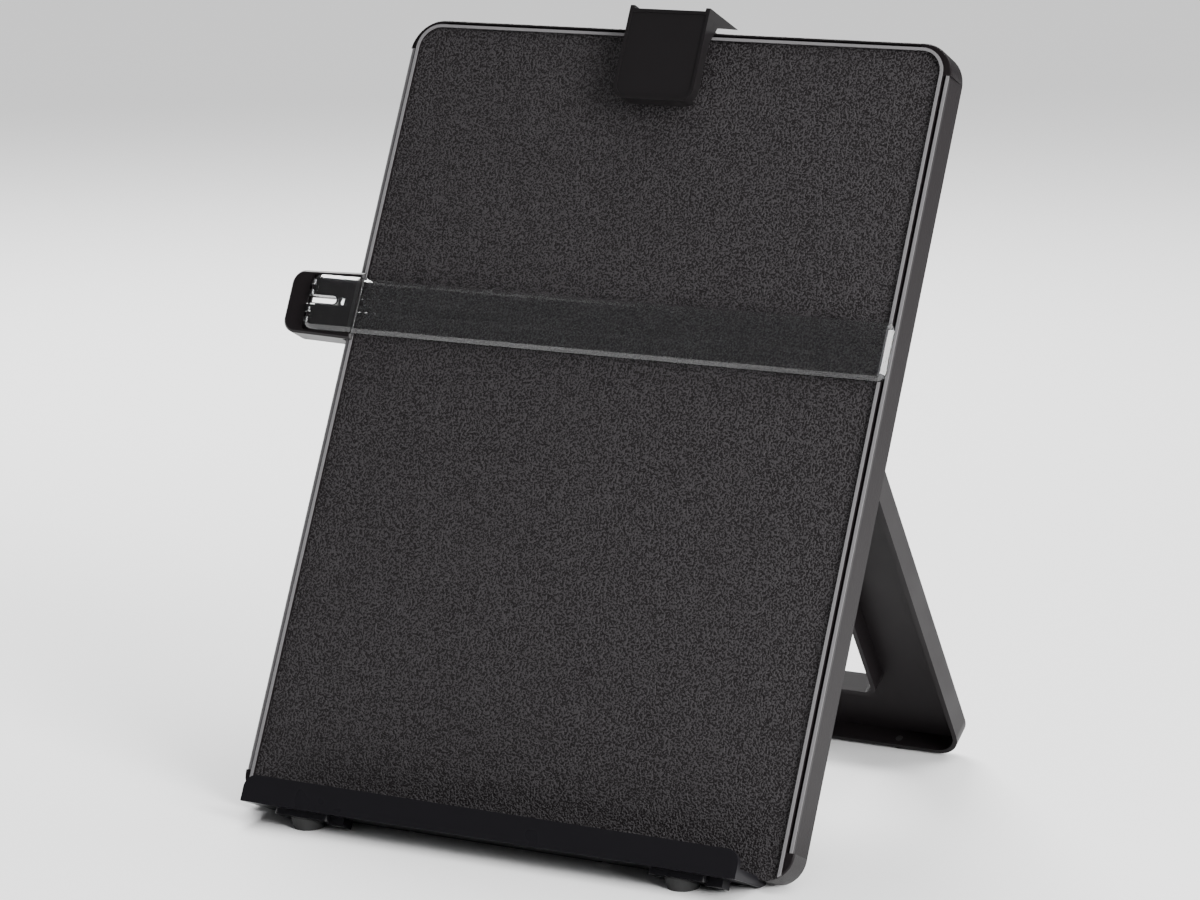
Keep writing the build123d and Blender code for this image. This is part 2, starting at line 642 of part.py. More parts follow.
# ---- clip: sprung jaw with its thumb lever ----------------------------------------------
with BuildPart() as clip_jaw:
    with BuildSketch(across(face, -half_clip)):
        add(polygon((
            (clip_bottom, CLIP_FRONT),
            (clip_bottom, FOOT_SKIRT_BACK),
            (clip_bottom + CLIP_WALL, FOOT_SKIRT_BACK),
            (clip_bottom + CLIP_WALL, SKIRT_BACK),
            (skirt_top, SKIRT_BACK),
            *above_top(CHEEK_NECK, CHEEK_HEEL, LEVER_TIP, LEVER_PEAK),
            (web_front, CLIP_FRONT),
        )))
    extrude(amount=CLIP_WIDTH)
    with BuildSketch(face.offset(-FAR)):
        add(outline(half_clip, clip_bottom, clip_bottom + FAR, CLIP_CORNER, EPS / 2))
    extrude(amount=2 * FAR, mode=Mode.INTERSECT)
    # inside of the jaw, then the room under the thumb web
    with BuildSketch(face.offset(-FAR)):
        add(outline(cheek_in, clip_bottom + CLIP_WALL, skirt_top + EPS, CLIP_CORNER - CLIP_WALL, EPS / 4))
    extrude(amount=FAR + plate_back, mode=Mode.SUBTRACT)
    with BuildSketch(across(face, -cheek_in)):
        add(polygon((
            (skirt_top, plate_back),
            (web_front - WEB, plate_back),
            (web_front - WEB + web_slope * (plate_back + FAR), -FAR),
            (skirt_top, -FAR),
        )))
    extrude(amount=2 * cheek_in, mode=Mode.SUBTRACT)
    # thumb web set down between the cheeks
    with BuildSketch(across(face, -cheek_in)):
        add(polygon((
            (web_front, CLIP_FRONT + EPS),
            (web_front, CLIP_FRONT),
            (web_front + web_slope * (CLIP_FRONT + FAR), -FAR),
            (web_front + FAR, -FAR),
            (web_front + FAR, CLIP_FRONT + EPS),
        )))
    extrude(amount=2 * cheek_in, mode=Mode.SUBTRACT)
    # front field inside the raised border
    with BuildSketch(face.offset(CLIP_FRONT - CLIP_RIM_HEIGHT)):
        add(outline(
            half_clip - CLIP_RIM, clip_bottom + CLIP_RIM, web_front - CLIP_RIM,
            CLIP_CORNER - CLIP_RIM, EPS / 2,
        ))
    extrude(amount=CLIP_RIM_HEIGHT + EPS, mode=Mode.SUBTRACT)
    # post that carries the grip
    with BuildSketch(face.offset(SHEET + GRIP_THICKNESS)):
        add(slab(-JAW_POST_HALF, JAW_POST_HALF, jaw_post_low, jaw_post_high))
    extrude(amount=plate_back - GRIP_THICKNESS)
    with BuildSketch(across(face, -half_clip - EPS)):
        add(disc(clip_axis_v, CLIP_AXIS_W, CLIP_PIN_R + TURN))
    extrude(amount=CLIP_WIDTH + 2 * EPS, mode=Mode.SUBTRACT)

# ---- clip: rubber grip on the post ------------------------------------------------------
with BuildPart() as clip_grip:
    with BuildSketch(face.offset(SHEET)):
        add(slab(
            -JAW_POST_HALF - GRIP_MARGIN, JAW_POST_HALF + GRIP_MARGIN,
            jaw_post_low - GRIP_MARGIN, jaw_post_high + GRIP_MARGIN,
        ))
    extrude(amount=GRIP_THICKNESS)

# ---- clip: pivot pin --------------------------------------------------------------------
with BuildPart() as clip_pin:
    with BuildSketch(across(face, -half_clip)):
        add(disc(clip_axis_v, CLIP_AXIS_W, CLIP_PIN_R))
    extrude(amount=CLIP_WIDTH)

# ---- clip: torsion spring round the pin -------------------------------------------------
coil_length = COIL_PITCH * COIL_TURNS
coil_start = face.from_local_coords(Vector(-coil_length / 2, clip_axis_v, CLIP_AXIS_W))
with BuildPart() as clip_spring:
    with BuildLine() as wire:
        coil = Helix(
            pitch=COIL_PITCH, height=coil_length, radius=COIL_R, center=coil_start, direction=(1, 0, 0)
        )
        Line(coil @ 0, coil @ 0 - coil % 0 * COIL_LEG)
        Line(coil @ 1, coil @ 1 + coil % 1 * COIL_LEG)
    wire_path = wire.wires()[0]
    with BuildSketch(Plane(origin=wire_path @ 0, z_dir=wire_path % 0)):
        RegularPolygon(WIRE_R, WIRE_SIDES)
    sweep(path=wire_path)

# ---- line guide: slider that wraps the left rail ----------------------------------------
with BuildPart() as guide_slider:
    with BuildSketch(face.offset(SLIDER_FRONT - SLIDER_DEPTH)) as slider_outline:
        add(polygon((
            (slider_left, GUIDE_V - half_left),
            (slider_left, GUIDE_V + half_left),
            (slider_right, GUIDE_V + half_right),
            (slider_right, GUIDE_V - half_right),
        )))
        fillet(slider_outline.vertices().group_by(Axis.X)[0], SLIDER_CORNER)
    extrude(amount=SLIDER_DEPTH)
    chamfer(guide_slider.faces().sort_by(out_of_face)[-1].edges(), SLIDER_BEVEL)
    # open back of the overhang
    with BuildSketch(face.offset(SLIDER_FRONT - SLIDER_DEPTH)) as slider_hollow:
        add(slab(
            slider_left + SLIDER_WALL, wrap_out,
            GUIDE_V - half_left + SLIDER_WALL, GUIDE_V + half_left - SLIDER_WALL,
        ))
        fillet(slider_hollow.vertices().group_by(Axis.X)[0], SLIDER_CORNER - SLIDER_WALL)
    extrude(amount=SLIDER_DEPTH - SLIDER_PLATE, mode=Mode.SUBTRACT)
    # room for the rail, a tongue in its groove, and the wall and hook round the rim
    with BuildSketch(face.offset(-FAR)):
        add(slab(wrap_in, slider_right + EPS, GUIDE_V - half_right - EPS, GUIDE_V + half_right + EPS))
    extrude(amount=FAR + BEAD_HEIGHT + SLIDE, mode=Mode.SUBTRACT)
    with BuildSketch(face.offset(-GROOVE_DEPTH + SLIDE)):
        add(slab(-groove_out + SLIDE, -groove_in - SLIDE, GUIDE_V - half_left, GUIDE_V + half_left))
    extrude(amount=GROOVE_DEPTH + BEAD_HEIGHT + SLIDE)
    with BuildSketch(face.offset(hook_front - HOOK)):
        add(slab(wrap_out, wrap_in, GUIDE_V - half_left, GUIDE_V + half_left))
    extrude(amount=HOOK - hook_front)
    with BuildSketch(face.offset(hook_front - HOOK)):
        add(slab(wrap_out, wrap_in + HOOK_REACH, GUIDE_V - half_left, GUIDE_V + half_left))
    extrude(amount=HOOK)
    # notch for the bar's step, slot under the guide's slot, hole for the catch
    with BuildSketch(face.offset(-GROOVE_DEPTH)):
        add(slab(
            tab_right - SLIDE, slider_right + EPS,
            GUIDE_V - half_guide - HINGE_SIDE, GUIDE_V + half_guide + HINGE_SIDE,
        ))
    extrude(amount=FAR, mode=Mode.SUBTRACT)
    with BuildSketch(face) as slot:
        add(slab(tab_left, slot_right, slot_v - SLOT_HALF, slot_v + SLOT_HALF))
        fillet(slot.vertices().group_by(Axis.X)[-1], SLOT_HALF * 0.9)
    extrude(amount=FAR, mode=Mode.SUBTRACT)
    with BuildSketch(face):
        add(slab(
            catch_left - SLIDE, catch_right + CATCH_SWING,
            slot_v - CATCH_HALF - SLIDE, slot_v + CATCH_HALF + SLIDE,
        ))
    extrude(amount=FAR, mode=Mode.SUBTRACT)
    # pocket that the tab's end swings into, with the hinge knuckles standing in it
    pocket_x = guide_axis_w - POCKET_FLOOR
    with BuildSketch(face.offset(POCKET_FLOOR)):
        add(slab(
            guide_axis_x - pocket_x - SLIDE, guide_axis_x + KNUCKLE_R + 2 * HINGE_SIDE,
            GUIDE_V - half_guide - HINGE_SIDE, GUIDE_V + half_guide + HINGE_SIDE,
        ))
    extrude(amount=FAR, mode=Mode.SUBTRACT)
    for side in (-1, 1):
        near = GUIDE_V + side * KNUCKLE_NEAR
        far = GUIDE_V + side * KNUCKLE_FAR
        with BuildSketch(upward(face, min(near, far))):
            add(slab(
                guide_axis_x - KNUCKLE_R, guide_axis_x + KNUCKLE_R, -guide_axis_w, -POCKET_FLOOR + EPS / 2
            ))
            add(disc(guide_axis_x, -guide_axis_w, KNUCKLE_R))
            add(disc(guide_axis_x, -guide_axis_w, GUIDE_PIN_R + PRESS), mode=Mode.SUBTRACT)
        extrude(amount=KNUCKLE_FAR - KNUCKLE_NEAR)
    # pocket for the leaf spring, open towards the rail
    with BuildSketch(face.offset(BRAKE_LOW - SLIDE)):
        add(slab(
            wrap_in - BRAKE_BOW, wrap_in + EPS,
            GUIDE_V - BRAKE_HALF - SLIDE, GUIDE_V + BRAKE_HALF + SLIDE,
        ))
    extrude(amount=BRAKE_HIGH - BRAKE_LOW + 2 * SLIDE, mode=Mode.SUBTRACT)

# ---- line guide: leaf spring between the slider and the board's side wall ---------------
brake_crest = -wall_at_brake - SEAT
brake_end = wrap_in - BRAKE_BOW + SEAT + BRAKE
with BuildPart() as guide_spring:
    with BuildSketch(face.offset(BRAKE_LOW)):
        with BuildLine():
            ThreePointArc(
                (brake_end, GUIDE_V - BRAKE_HALF), (brake_crest, GUIDE_V), (brake_end, GUIDE_V + BRAKE_HALF)
            )
            Line((brake_end, GUIDE_V + BRAKE_HALF), (brake_end - BRAKE, GUIDE_V + BRAKE_HALF))
            ThreePointArc(
                (brake_end - BRAKE, GUIDE_V + BRAKE_HALF), (brake_crest - BRAKE, GUIDE_V),
                (brake_end - BRAKE, GUIDE_V - BRAKE_HALF),
            )
            Line((brake_end - BRAKE, GUIDE_V - BRAKE_HALF), (brake_end, GUIDE_V - BRAKE_HALF))
        make_face()
    extrude(amount=BRAKE_HIGH - BRAKE_LOW)


def clear_plate(back, left, right, corner, rounded_end):
    """Bevelled plate of the guide, rounded at its left (0) or right (-1) end, plain at the other."""
    with BuildPart() as plate:
        with BuildSketch(face.offset(back)) as flat:
            add(slab(left, right, GUIDE_V - half_guide, GUIDE_V + half_guide))
            fillet(flat.vertices().group_by(sideways)[rounded_end], corner)
        extrude(amount=GUIDE_THICKNESS)
        rim = plate.faces().sort_by(out_of_face)[-1].edges().sort_by(sideways)
        bevelled = rim[:-1] if rounded_end == 0 else rim[1:]
        chamfer(bevelled, GUIDE_BEVEL)
    return plate.part


# ---- line guide: clear bar with its tab -------------------------------------------------
with BuildPart() as guide_bar:
    add(clear_plate(tab_back, tab_left, tab_right, TAB_CORNER, 0))
    add(clear_plate(bar_back, bar_left, bar_right, BAR_CORNER, -1))
    # step from the tab down to the bar
    with BuildSketch(across(face, tab_right)) as tab_end:
        add(polygon((
            (GUIDE_V - half_guide, tab_back),
            (GUIDE_V + half_guide, tab_back),
            (GUIDE_V + half_guide, tab_front - GUIDE_BEVEL),
            (GUIDE_V + half_guide - GUIDE_BEVEL, tab_front),
            (GUIDE_V - half_guide + GUIDE_BEVEL, tab_front),
            (GUIDE_V - half_guide, tab_front - GUIDE_BEVEL),
        )))
    with BuildSketch(across(face, bar_left)) as bar_end:
        add(polygon((
            (GUIDE_V - half_guide, bar_back),
            (GUIDE_V + half_guide, bar_back),
            (GUIDE_V + half_guide, bar_front - GUIDE_BEVEL),
            (GUIDE_V + half_guide - GUIDE_BEVEL, bar_front),
            (GUIDE_V - half_guide + GUIDE_BEVEL, bar_front),
            (GUIDE_V - half_guide, bar_front - GUIDE_BEVEL),
        )))
    loft()
    # moulded lines along the bar
    for side in (-1, 1):
        rule = GUIDE_V + side * RULE_OFFSET
        with BuildSketch(face.offset(bar_front)):
            add(slab(bar_left, bar_right - GUIDE_BEVEL, rule - RULE_WIDTH / 2, rule + RULE_WIDTH / 2))
        extrude(amount=RULE_HEIGHT)
    # slot, catch, and the notches and bores of the hinge
    with BuildSketch(face.offset(tab_back - EPS)) as tab_slot:
        add(slab(tab_left - FAR, slot_right, slot_v - SLOT_HALF, slot_v + SLOT_HALF))
        fillet(tab_slot.vertices().group_by(Axis.X)[-1], SLOT_HALF * 0.9)
    extrude(amount=GUIDE_THICKNESS + 2 * EPS, mode=Mode.SUBTRACT)
    with BuildSketch(face.offset(CATCH_TIP)):
        add(slab(catch_left, catch_right, slot_v - CATCH_HALF, slot_v + CATCH_HALF))
    extrude(amount=tab_front + CATCH_PROUD - CATCH_TIP)
    for side in (-1, 1):
        near = GUIDE_V + side * (KNUCKLE_NEAR - HINGE_SIDE / 2)
        far = GUIDE_V + side * (KNUCKLE_FAR + HINGE_SIDE / 2)
        with BuildSketch(face.offset(tab_back - EPS)):
            add(slab(tab_left - FAR, guide_axis_x + KNUCKLE_R + HINGE_SIDE, min(near, far), max(near, far)))
        extrude(amount=GUIDE_THICKNESS + 2 * EPS, mode=Mode.SUBTRACT)
        pin_start = GUIDE_V + side * GUIDE_PIN_NEAR
        pin_finish = GUIDE_V + side * (GUIDE_PIN_FAR + SEAT)
        with BuildSketch(upward(face, min(pin_start, pin_finish))):
            add(disc(guide_axis_x, -guide_axis_w, GUIDE_PIN_R + TURN))
        extrude(amount=abs(pin_finish - pin_start), mode=Mode.SUBTRACT)

# ---- line guide: hinge pins -------------------------------------------------------------
with BuildPart() as guide_pin_upper:
    with BuildSketch(upward(face, GUIDE_V + GUIDE_PIN_NEAR)):
        add(disc(guide_axis_x, -guide_axis_w, GUIDE_PIN_R))
    extrude(amount=GUIDE_PIN_FAR - GUIDE_PIN_NEAR)

with BuildPart() as guide_pin_lower:
    with BuildSketch(upward(face, GUIDE_V - GUIDE_PIN_FAR)):
        add(disc(guide_axis_x, -guide_axis_w, GUIDE_PIN_R))
    extrude(amount=GUIDE_PIN_FAR - GUIDE_PIN_NEAR)

# ---- files ------------------------------------------------------------------------------
os.makedirs("parts", exist_ok=True)
nodes = {
    "board": board,
    "ledge": ledge,
    "ledge_screws": ledge_screws,
    "foot_left": foot_left,
    "foot_right": foot_right,
    "easel_leg": easel_leg,
    "leg_pin_left": leg_pin_left,
    "leg_pin_right": leg_pin_right,
    "leg_foot_left": leg_foot_left,
    "leg_foot_right": leg_foot_right,
    "clip_bracket": clip_bracket,
    "clip_jaw": clip_jaw,
    "clip_grip": clip_grip,
    "clip_pin": clip_pin,
    "clip_spring": clip_spring,
    "guide_slider": guide_slider,
    "guide_bar": guide_bar,
    "guide_spring": guide_spring,
    "guide_pin_upper": guide_pin_upper,
    "guide_pin_lower": guide_pin_lower,
}
for name, node in nodes.items():
    node.part.label = name
    export_step(node.part, f"parts/{name}.step")
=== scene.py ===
import json
from math import cos, radians, sin

import bpy
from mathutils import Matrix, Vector


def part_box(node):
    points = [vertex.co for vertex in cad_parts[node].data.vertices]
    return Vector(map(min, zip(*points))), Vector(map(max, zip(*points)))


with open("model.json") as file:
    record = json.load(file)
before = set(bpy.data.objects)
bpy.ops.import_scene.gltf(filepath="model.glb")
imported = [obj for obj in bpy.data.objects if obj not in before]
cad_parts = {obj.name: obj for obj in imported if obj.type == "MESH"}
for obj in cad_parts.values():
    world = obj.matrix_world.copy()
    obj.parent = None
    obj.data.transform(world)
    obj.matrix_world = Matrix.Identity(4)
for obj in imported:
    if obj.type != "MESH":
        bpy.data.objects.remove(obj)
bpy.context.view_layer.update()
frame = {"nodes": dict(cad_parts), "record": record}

# Desk copy holder on a pale floor. Metres, in the imported model's frame: +Z up, -Y towards the
# reader. Every visible piece is a CAD node with a procedural material; the pieces in EDGES get
# softened edges.

nodes = frame["nodes"]

# ---- stance and face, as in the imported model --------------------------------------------
LEAN = radians(24.5)                                   # board's tilt back from upright
FACE_NORMAL = Vector((0, -cos(LEAN), sin(LEAN)))
FACE_UP = Vector((0, sin(LEAN), cos(LEAN)))
board_low, board_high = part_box("board")
BOARD_CENTRE_X = (board_low.x + board_high.x) / 2
FACE_ORIGIN = Vector((BOARD_CENTRE_X, -0.0952966, 0.0041))   # middle of the face's bottom edge

FACE_REACH = 0.0001          # the face lies within this of its plane
FACE_HALF = 0.10925          # half width of the grained face, between the beads
BEAD_LEVEL = 0.0010          # everything further out of the face is the bead's top
LIP_LEVEL = 0.00015          # front of the rails' lips above the face
LIP_REACH = 0.0003
LIP_INSIDE = 0.1114          # lip's inner edge, from the middle
RAIL_LOW = 0.0107            # ends of the rails, up from the bottom edge
RAIL_HIGH = 0.2942

# ---- colours and finishes ---------------------------------------------------------------
BLACK = (0.0095, 0.0078, 0.0085)
LEDGE_BLACK = (0.008, 0.0075, 0.009)
CLIP_BLACK = (0.01, 0.009, 0.0095)
GRAIN_HIGHLIGHT = (0.04, 0.037, 0.039)           # painted highlight on the tips of the leather grain
BEAD_HIGHLIGHT = (0.16, 0.155, 0.16)         # painted highlight on the bead and lips
PLASTIC_GLOSS = 0.13

SPARK_STRENGTH = 0.35                  # spark-eroded grain of the plain pieces
SPARK_DETAIL = 3.0
PATCH_SCALE = 60.0                     # slow change of gloss over the plain pieces
PATCH_DULLER = 1.2
PATCH_GLOSSIER = 0.85

CELL_SCALE = 1500.0                    # leather grain of the board's face
CELL_SOFTNESS = 0.7
WANDER_SCALE = 1300.0
WANDER = 0.0006
FINE_SCALE = 3000.0
FINE_SHARE = 0.5
TIP_LEVEL = 0.74                       # grain above this height gets the painted highlight
SMOOTH_SCALE = 1800.0                  # faint grain of the board's rim
SMOOTH_SHARE = 0.12
LEATHER_STRENGTH = 1.0
LEATHER_DEPTH = 0.0005
SMOOTH_ROUGHNESS = 0.3
LEATHER_ROUGHNESS = 0.42
POLISH = 0.12                          # how much less rough the bead and lips are

CLEAR_TINT = (0.98, 0.99, 0.99)
CLEAR_INDEX = 1.49
HAZE_SCALE = 90.0
HAZE = (0.01, 0.06)

RUBBER_ROUGHNESS = 0.7
RUBBER_GLOSS = 0.35
RUBBER_SCALE = 2200.0
RUBBER_DETAIL = 4.0
RUBBER_STRENGTH = 0.4
RUBBER_DEPTH = 0.0001

BRUSH_SCALE = 1500.0                   # steel's change of gloss
BRUSH_DULLER = 1.3
BRUSH_GLOSSIER = 0.8

# ---- softened edges: width on each piece ------------------------------------------------
EDGES = {
    "board": 0.00035, "ledge": 0.0006, "easel_leg": 0.0004, "clip_jaw": 0.0004,
    "clip_bracket": 0.0002, "guide_slider": 0.0003, "guide_bar": 0.0002,
}
EDGE_STEPS = 3
EDGE_ANGLE = radians(30)               # only edges sharper than this

# ---- floor, light and camera ------------------------------------------------------------
FLOOR_SIZE = 60.0
FLOOR_TONE = 0.93
FLOOR_ROUGHNESS = 0.75
FLOOR_GLOSS = 0.2
FLOOR_SCALE = 30.0
FLOOR_STRENGTH = 0.05
FLOOR_DEPTH = 0.001

LIGHT_TARGET = Vector((0, 0, 0.15))
RIGHT_PLACE = Vector((1.37, -0.57, 0.75))
RIGHT_SIZE = (0.6, 0.9)
RIGHT_POWER = 45.0
REAR_PLACE = Vector((-0.87, 0.95, 1.41))
REAR_SIZE = (0.9, 0.7)
REAR_POWER = 50.0
OVERHEAD_FROM = Vector((0.3, 0.3, 0.9))
OVERHEAD_POWER = 3.2
OVERHEAD_SPREAD = radians(60)
ROOM_TINT = (0.97, 0.98, 1.0)
ROOM_STRENGTH = 0.2

CAMERA_PLACE = (0.73381, -1.30720, 0.40413)
CAMERA_TURN = (radians(79.5877), radians(-0.1818), radians(29.38))
CAMERA_LENS = 122.803
CAMERA_SENSOR = 36.0

# sockets of a mix node that mixes colours
MIX_FACTOR, MIX_FIRST, MIX_SECOND = 0, 6, 7
MIX_RESULT = 2


# ---- node helpers -----------------------------------------------------------------------
def opaque(colour):
    return (*colour, 1.0)


def maths(tree, operation, first, second=None):
    made = tree.nodes.new("ShaderNodeMath")
    made.operation = operation
    for socket, value in zip(made.inputs, (first, second)):
        if value is None:
            continue
        if isinstance(value, (int, float)):
            socket.default_value = value
        else:
            tree.links.new(value, socket)
    return made.outputs[0]


def both(tree, first, second):
    """1 where both factors are 1."""
    return maths(tree, "MULTIPLY", first, second)


def near(tree, value, middle, reach):
    """1 where the value lies within a reach of the middle."""
    offset = maths(tree, "SUBTRACT", value, middle)
    return maths(tree, "LESS_THAN", maths(tree, "ABSOLUTE", offset), reach)


def along(tree, place, direction):
    """Distance from the face's bottom edge along one of the board's own directions."""
    dot = tree.nodes.new("ShaderNodeVectorMath")
    dot.operation = "DOT_PRODUCT"
    dot.inputs[1].default_value = direction
    tree.links.new(place, dot.inputs[0])
    return maths(tree, "SUBTRACT", dot.outputs["Value"], FACE_ORIGIN.dot(direction))


def across(tree, place):
    """Distance to either side of the board's middle."""
    split = tree.nodes.new("ShaderNodeSeparateXYZ")
    tree.links.new(place, split.inputs[0])
    offset = maths(tree, "SUBTRACT", split.outputs["X"], BOARD_CENTRE_X)
    return maths(tree, "ABSOLUTE", offset)


def vary(tree, factor, low, high):
    """The factor's 0 to 1 stretched to a range."""
    made = tree.nodes.new("ShaderNodeMapRange")
    made.inputs["To Min"].default_value = low
    made.inputs["To Max"].default_value = high
    tree.links.new(factor, made.inputs["Value"])
    return made.outputs["Result"]


def blend(tree, factor, first, second):
    """Colour that goes from the first to the second with the factor."""
    made = tree.nodes.new("ShaderNodeMix")
    made.data_type = "RGBA"
    tree.links.new(factor, made.inputs[MIX_FACTOR])
    for socket, colour in ((made.inputs[MIX_FIRST], first), (made.inputs[MIX_SECOND], second)):
        if isinstance(colour, tuple):
            socket.default_value = opaque(colour)
        else:
            tree.links.new(colour, socket)
    return made.outputs[MIX_RESULT]


def noise(tree, place, scale, detail=2.0):
    made = tree.nodes.new("ShaderNodeTexNoise")
    made.inputs["Scale"].default_value = scale
    made.inputs["Detail"].default_value = detail
    tree.links.new(place, made.inputs["Vector"])
    return made.outputs["Fac"]


def bump(tree, shader, height, strength, distance):
    made = tree.nodes.new("ShaderNodeBump")
    made.inputs["Strength"].default_value = strength
    made.inputs["Distance"].default_value = distance
    tree.links.new(height, made.inputs["Height"])
    tree.links.new(made.outputs["Normal"], shader.inputs["Normal"])


def material(name, values):
    """Principled material with some values set: itself, its tree, shader and coordinates."""
    made = bpy.data.materials.new(name)
    made.use_nodes = True
    tree = made.node_tree
    shader = tree.nodes["Principled BSDF"]
    for socket, value in values.items():
        shader.inputs[socket].default_value = value
    place = tree.nodes.new("ShaderNodeTexCoord").outputs["Object"]
    return made, tree, shader, place


# ---- materials --------------------------------------------------------------------------
def plain_plastic(name, colour, roughness, grain, depth):
    """Moulded plastic with a fine spark-eroded grain."""
    made, tree, shader, place = material(name, {
        "Base Color": opaque(colour), "Specular IOR Level": PLASTIC_GLOSS,
    })
    worn = vary(tree, noise(tree, place, PATCH_SCALE),
                roughness * PATCH_GLOSSIER, roughness * PATCH_DULLER)
    tree.links.new(worn, shader.inputs["Roughness"])
    bump(tree, shader, noise(tree, place, grain, SPARK_DETAIL), SPARK_STRENGTH, depth)
    return made


def leather_height(tree, place):
    """Rounded cells whose edges wander, broken up by a finer grain."""
    wander = tree.nodes.new("ShaderNodeTexNoise")
    wander.inputs["Scale"].default_value = WANDER_SCALE
    tree.links.new(place, wander.inputs["Vector"])
    warp = tree.nodes.new("ShaderNodeVectorMath")
    warp.operation = "MULTIPLY_ADD"
    warp.inputs[1].default_value = (WANDER, WANDER, WANDER)
    tree.links.new(wander.outputs["Color"], warp.inputs[0])
    tree.links.new(place, warp.inputs[2])
    cells = tree.nodes.new("ShaderNodeTexVoronoi")
    cells.feature = "SMOOTH_F1"
    cells.inputs["Scale"].default_value = CELL_SCALE
    cells.inputs["Smoothness"].default_value = CELL_SOFTNESS
    tree.links.new(warp.outputs[0], cells.inputs["Vector"])
    fine = maths(tree, "MULTIPLY", noise(tree, place, FINE_SCALE), FINE_SHARE)
    return maths(tree, "ADD", cells.outputs["Distance"], fine)


def board_plastic():
    """Black plastic, smooth on the rim and leather-grained on the face, with painted highlights
    on the bead, the rails' lips and the grain's tips.
    """
    made, tree, shader, place = material("board_plastic", {"Specular IOR Level": PLASTIC_GLOSS})
    out = along(tree, place, FACE_NORMAL)
    up = along(tree, place, FACE_UP)
    aside = across(tree, place)
    on_face = near(tree, out, 0.0, FACE_REACH)
    grained = both(tree, on_face, maths(tree, "LESS_THAN", aside, FACE_HALF))

    # painted highlight on the tops of the bead and of the rails' lips, which are also less
    # rough
    bead = maths(tree, "GREATER_THAN", out, BEAD_LEVEL)
    rail_middle = (RAIL_LOW + RAIL_HIGH) / 2
    beside = near(tree, up, rail_middle, RAIL_HIGH - rail_middle)
    outside = maths(tree, "GREATER_THAN", aside, LIP_INSIDE)
    lip = both(tree, near(tree, out, LIP_LEVEL, LIP_REACH), outside)
    highlit_and_polished = maths(tree, "MAXIMUM", bead, both(tree, lip, beside))

    leather = leather_height(tree, place)
    # painted highlight: the highest tips of the face's grain are coloured lighter
    highlit_tips = both(tree, grained, maths(tree, "GREATER_THAN", leather, TIP_LEVEL))
    # base colour: black, lightened by the painted highlights on the grain's tips, the bead and
    # the lips
    highlit_colour = blend(tree, highlit_and_polished, blend(tree, highlit_tips, BLACK, GRAIN_HIGHLIGHT), BEAD_HIGHLIGHT)
    tree.links.new(highlit_colour, shader.inputs["Base Color"])

    height = tree.nodes.new("ShaderNodeMix")
    smooth = maths(tree, "MULTIPLY", noise(tree, place, SMOOTH_SCALE), SMOOTH_SHARE)
    tree.links.new(grained, height.inputs["Factor"])
    tree.links.new(smooth, height.inputs["A"])
    tree.links.new(leather, height.inputs["B"])
    bump(tree, shader, height.outputs["Result"], LEATHER_STRENGTH, LEATHER_DEPTH)

    rough = vary(tree, grained, SMOOTH_ROUGHNESS, LEATHER_ROUGHNESS)
    worn = maths(tree, "SUBTRACT", rough, maths(tree, "MULTIPLY", highlit_and_polished, POLISH))
    tree.links.new(worn, shader.inputs["Roughness"])
    return made


def clear_plastic():
    """Polished clear acrylic with faint haze."""
    made, tree, shader, place = material("clear_plastic", {
        "Base Color": opaque(CLEAR_TINT), "Transmission Weight": 1.0, "IOR": CLEAR_INDEX,
    })
    haze = vary(tree, noise(tree, place, HAZE_SCALE), *HAZE)
    tree.links.new(haze, shader.inputs["Roughness"])
    return made


def rubber(name, tone):
    """Dull rubber of one grey tone."""
    made, tree, shader, place = material(name, {
        "Base Color": (tone, tone, tone, 1.0), "Roughness": RUBBER_ROUGHNESS,
        "Specular IOR Level": RUBBER_GLOSS,
    })
    grain = noise(tree, place, RUBBER_SCALE, RUBBER_DETAIL)
    bump(tree, shader, grain, RUBBER_STRENGTH, RUBBER_DEPTH)
    return made


def steel(name, colour, roughness):
    made, tree, shader, place = material(name, {"Base Color": opaque(colour), "Metallic": 1.0})
    worn = vary(tree, noise(tree, place, BRUSH_SCALE),
                roughness * BRUSH_GLOSSIER, roughness * BRUSH_DULLER)
    tree.links.new(worn, shader.inputs["Roughness"])
    return made


# a plain plastic's last three values: roughness, grain's scale and grain's depth
finish = {
    "board_plastic": board_plastic(),
    "ledge_plastic": plain_plastic("ledge_plastic", LEDGE_BLACK, 0.28, 1500.0, 0.00003),
    "leg_plastic": plain_plastic("leg_plastic", BLACK, 0.42, 1600.0, 0.00006),
    "clip_plastic": plain_plastic("clip_plastic", CLIP_BLACK, 0.38, 2200.0, 0.00006),
    "slider_plastic": plain_plastic("slider_plastic", BLACK, 0.34, 2000.0, 0.00003),
    "clear_plastic": clear_plastic(),
    "foot_rubber": rubber("foot_rubber", 0.02),
    "grip_rubber": rubber("grip_rubber", 0.04),
    "pin_steel": steel("pin_steel", (0.62, 0.62, 0.63), 0.25),
    "spring_steel": steel("spring_steel", (0.5, 0.5, 0.52), 0.3),
}
slots = {entry["node"]: entry["material_slot"] for entry in frame["record"]["subparts"]}
for name, piece in nodes.items():
    piece.data.materials.clear()
    piece.data.materials.append(finish[slots[name]])

# ---- softened edges ---------------------------------------------------------------------
for name, width in EDGES.items():
    soften = nodes[name].modifiers.new("soften", "BEVEL")
    soften.width = width
    soften.segments = EDGE_STEPS
    soften.limit_method = "ANGLE"
    soften.angle_limit = EDGE_ANGLE

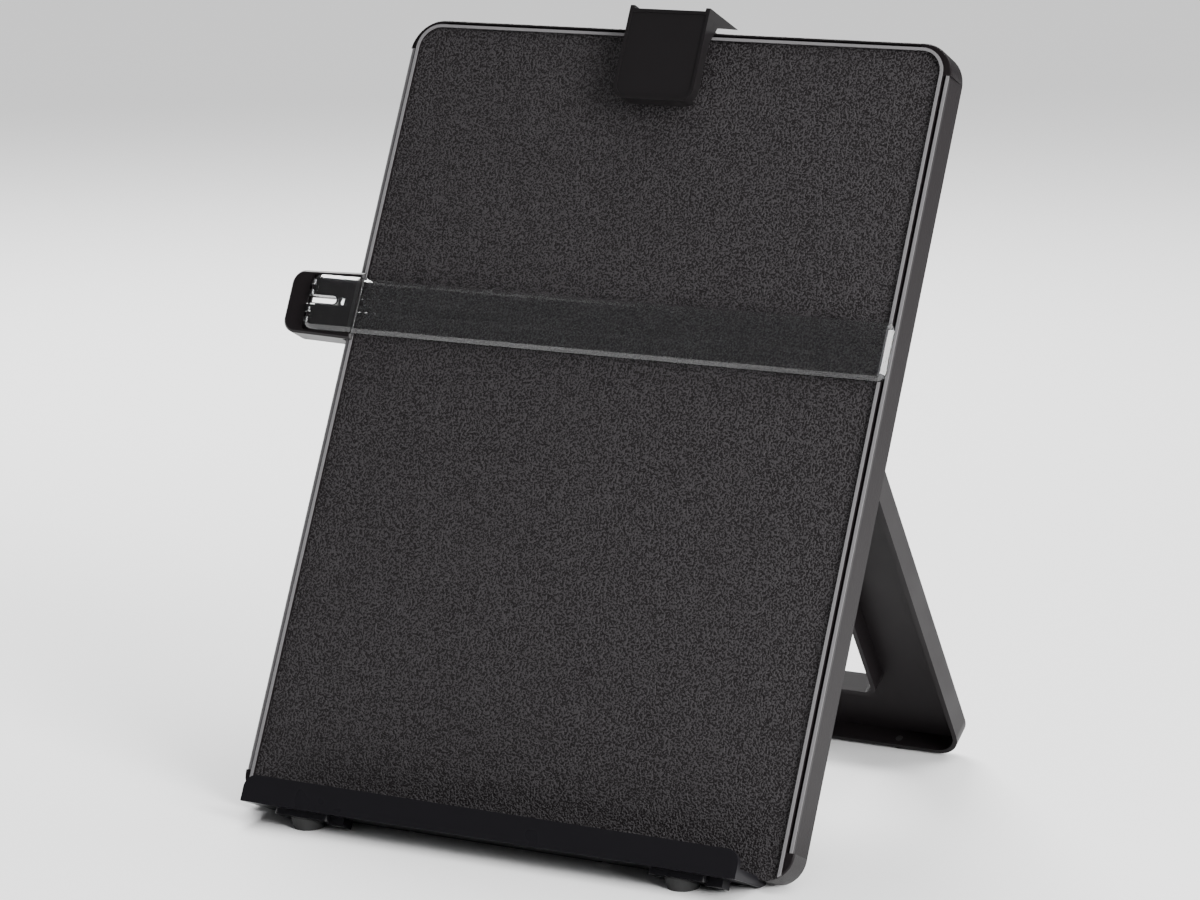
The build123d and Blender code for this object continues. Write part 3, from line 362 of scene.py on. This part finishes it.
# ---- floor ------------------------------------------------------------------------------
bpy.ops.mesh.primitive_plane_add(size=FLOOR_SIZE, location=(0, 0, 0))
floor = bpy.context.object
floor.name = "floor"
pale, pale_tree, pale_shader, pale_place = material("pale_floor", {
    "Base Color": (FLOOR_TONE, FLOOR_TONE, FLOOR_TONE, 1.0), "Roughness": FLOOR_ROUGHNESS,
    "Specular IOR Level": FLOOR_GLOSS,
})
unevenness = noise(pale_tree, pale_place, FLOOR_SCALE)
bump(pale_tree, pale_shader, unevenness, FLOOR_STRENGTH, FLOOR_DEPTH)
floor.data.materials.append(pale)


# ---- light ------------------------------------------------------------------------------
def hang(lamp, place, turn):
    """The lamp's object, placed and turned."""
    holder = bpy.data.objects.new(lamp.name, lamp)
    holder.location = place
    holder.rotation_euler = turn.to_euler()
    bpy.context.collection.objects.link(holder)


def softbox(name, place, size, power):
    """Rectangular soft light aimed at the middle of the part."""
    lamp = bpy.data.lights.new(name, "AREA")
    lamp.shape = "RECTANGLE"
    lamp.size, lamp.size_y = size
    lamp.energy = power
    hang(lamp, place, (LIGHT_TARGET - place).to_track_quat("-Z", "Y"))


softbox("right_light", RIGHT_PLACE, RIGHT_SIZE, RIGHT_POWER)
softbox("rear_light", REAR_PLACE, REAR_SIZE, REAR_POWER)

overhead = bpy.data.lights.new("overhead_light", "SUN")
overhead.energy = OVERHEAD_POWER
overhead.angle = OVERHEAD_SPREAD
hang(overhead, (0, 0, 0), OVERHEAD_FROM.to_track_quat("Z", "Y"))

world = bpy.data.worlds.new("soft_room")
bpy.context.scene.world = world
world.use_nodes = True
room = world.node_tree.nodes["Background"]
room.inputs["Color"].default_value = opaque(ROOM_TINT)
room.inputs["Strength"].default_value = ROOM_STRENGTH

# ---- camera -----------------------------------------------------------------------------
lens = bpy.data.cameras.new("camera")
lens.sensor_width = CAMERA_SENSOR
lens.lens = CAMERA_LENS
camera = bpy.data.objects.new("camera", lens)
camera.location = CAMERA_PLACE
camera.rotation_euler = CAMERA_TURN
bpy.context.collection.objects.link(camera)
bpy.context.scene.camera = camera
